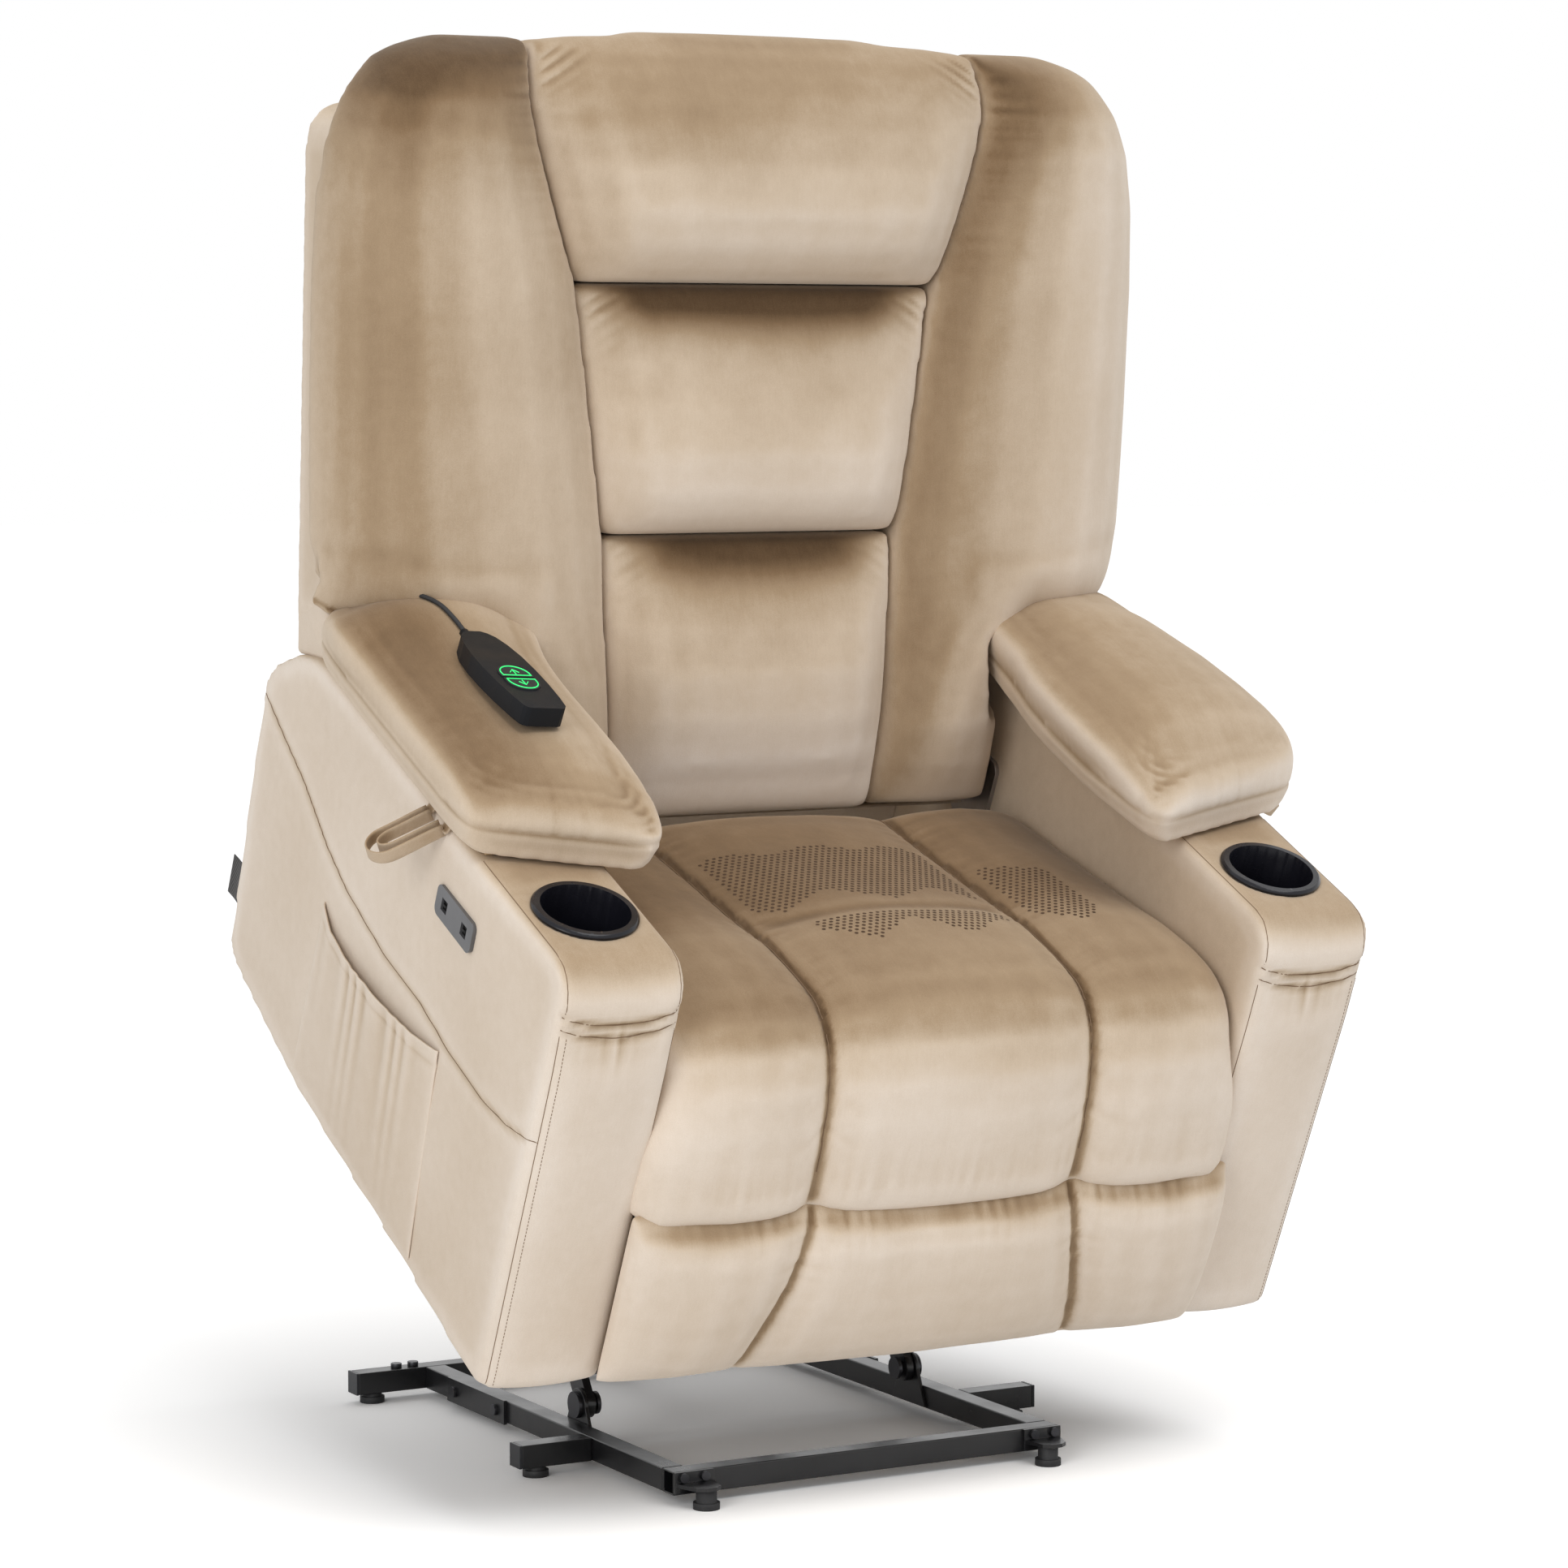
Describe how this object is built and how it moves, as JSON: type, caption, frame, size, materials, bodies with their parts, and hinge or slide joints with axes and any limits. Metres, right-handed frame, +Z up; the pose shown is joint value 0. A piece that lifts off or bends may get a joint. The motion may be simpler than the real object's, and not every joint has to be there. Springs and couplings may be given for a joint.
{
  "type": "power lift recliner chair",
  "caption": "Upholstered recliner on a steel lift base, raised and tilted forward, with winged back, folding footrest, lidded arms, cup holders and wired handset.",
  "frame": {"origin": "on the floor, below the middle of the raised chair's overall box", "axes": "+Z up, -Y the way the sitter faces, +X towards the sitter's left hand"},
  "size_m": [1.06, 0.8334, 1.4769],
  "materials": {
    "plush": "short plush velvet",
    "covered_board": "smooth flat plush over board",
    "black_steel": "semi-gloss powder coat",
    "bright_steel": "zinc plated",
    "rubber_feet": "matte",
    "black_plastic": "satin",
    "grey_plate": "dark anodised",
    "frame_wood": "plain plywood",
    "webbing": "woven"
  },
  "bodies": {
    "base": {"rail_left": "black_steel", "rail_right": "black_steel", "front_bar": "black_steel", "rear_bar": "black_steel", "mid_outriggers": "black_steel", "tube_caps": "black_plastic", "foot_brackets": "black_steel", "glide_feet": "rubber_feet", "pivot_brackets": "black_steel", "base_fasteners": "bright_steel", "motor_clevis": "black_steel"},
    "lift_arms_body": {"lift_arms": "black_steel"},
    "actuator": {"actuator_tube": "black_plastic", "motor_housing": "black_plastic"},
    "rod": {"actuator_rod": "bright_steel"},
    "chair": {"seat_frame": "frame_wood", "seat_webbing": "webbing", "lift_frame": "black_steel", "seat_cushion": "plush", "arm_side_left": "covered_board", "arm_side_right": "covered_board", "arm_inner_left": "covered_board", "arm_inner_right": "covered_board", "arm_front_left": "covered_board", "arm_front_right": "covered_board", "arm_deck_left": "covered_board", "arm_deck_right": "covered_board", "cup_holder_left": "black_plastic", "cup_holder_right": "black_plastic", "storage_tray_left": "black_plastic", "storage_tray_right": "black_plastic", "usb_plate": "grey_plate", "side_pocket": "covered_board", "control_box": "black_plastic", "hinge_plates": "bright_steel", "rear_apron": "covered_board", "side_tag": "webbing", "cord_grommet": "rubber_feet"},
    "backrest": {"wing_left": "plush", "wing_right": "plush", "head_pillow": "plush", "mid_cushion": "plush", "lumbar_cushion": "plush", "back_shell": "covered_board", "back_frame": "frame_wood"},
    "crank": {"footrest_crank": "bright_steel"},
    "link": {"footrest_link": "bright_steel"},
    "footrest": {"footrest_board": "frame_wood", "footrest_cushion": "plush"},
    "pad_lid_left": {"arm_pad_left": "plush", "pad_board_left": "frame_wood", "loop_left": "plush", "handset": "black_plastic", "handset_cord": "rubber_feet"},
    "pad_lid_right": {"arm_pad_right": "plush", "pad_board_right": "frame_wood", "loop_right": "plush"},
    "key_up": {"button_up": "black_plastic"},
    "key_down": {"button_down": "black_plastic"}
  },
  "joints": [
    {"name": "lift", "type": "hinge", "parent": "base", "child": "lift_arms_body", "pos_m": [0, 0.06496, 0.052], "axis": [-1, 0, 0], "range_deg": [0, 51.48]},
    {"name": "lift_tilt", "type": "hinge", "parent": "lift_arms_body", "child": "chair", "pos_m": [0, 0.31048, 0.43114], "axis": [-1, 0, 0], "range_deg": [-26.78, 0.05]},
    {"name": "actuator_swing", "type": "hinge", "parent": "base", "child": "actuator", "pos_m": [0, 0.4025, 0.062], "axis": [-1, 0, 0], "range_deg": [-0.05, 8.16]},
    {"name": "actuator_stroke", "type": "slide", "parent": "actuator", "child": "rod", "axis": [0, -0.9826, 0.1859], "range_m": [-0.08968, 0.0002]},
    {"name": "recline", "type": "hinge", "parent": "chair", "child": "backrest", "pos_m": [0, 0.12401, 0.68317], "axis": [-1, 0, 0], "range_deg": [0, 38]},
    {"name": "footrest_crank_turn", "type": "hinge", "parent": "chair", "child": "crank", "pos_m": [0, -0.2403, 0.27633], "axis": [-1, 0, 0], "range_deg": [0, 207]},
    {"name": "footrest_link_turn", "type": "hinge", "parent": "crank", "child": "link", "pos_m": [0, -0.14278, 0.31523], "axis": [-1, 0, 0], "range_deg": [-170.2, 0.1]},
    {"name": "footrest_board_turn", "type": "hinge", "parent": "link", "child": "footrest", "pos_m": [0, -0.26064, 0.25594], "axis": [-1, 0, 0], "range_deg": [-0.1, 43.2]},
    {"name": "arm_lid_left", "type": "hinge", "parent": "chair", "child": "pad_lid_left", "pos_m": [-0.331, -0.07503, 0.74188], "axis": [0, 0.9081, 0.4187], "range_deg": [0, 21], "deforming": ["handset_cord"]},
    {"name": "arm_lid_right", "type": "hinge", "parent": "chair", "child": "pad_lid_right", "pos_m": [0.331, -0.07503, 0.74188], "axis": [0, -0.9081, -0.4187], "range_deg": [0, 21]},
    {"name": "key_up_press", "type": "slide", "parent": "pad_lid_left", "child": "key_up", "axis": [-0.0865, 0.3984, -0.9131], "range_m": [0, 0.0011], "stiffness_N_per_m": 900, "springref_m": -0.0006},
    {"name": "key_down_press", "type": "slide", "parent": "pad_lid_left", "child": "key_down", "axis": [-0.0865, 0.3984, -0.9131], "range_m": [0, 0.0011], "stiffness_N_per_m": 900, "springref_m": -0.0006}
  ],
  "couplings": [
    {"joint": "lift_tilt", "follows": "lift", "ratio": -0.51926},
    {"joint": "actuator_swing", "follows": "lift", "ratio": 0.15756},
    {"joint": "actuator_stroke", "follows": "lift", "m_per_rad": -0.099578},
    {"joint": "footrest_link_turn", "follows": "footrest_crank_turn", "ratio": -0.82145},
    {"joint": "footrest_board_turn", "follows": "footrest_crank_turn", "ratio": 0.20792}
  ]
}
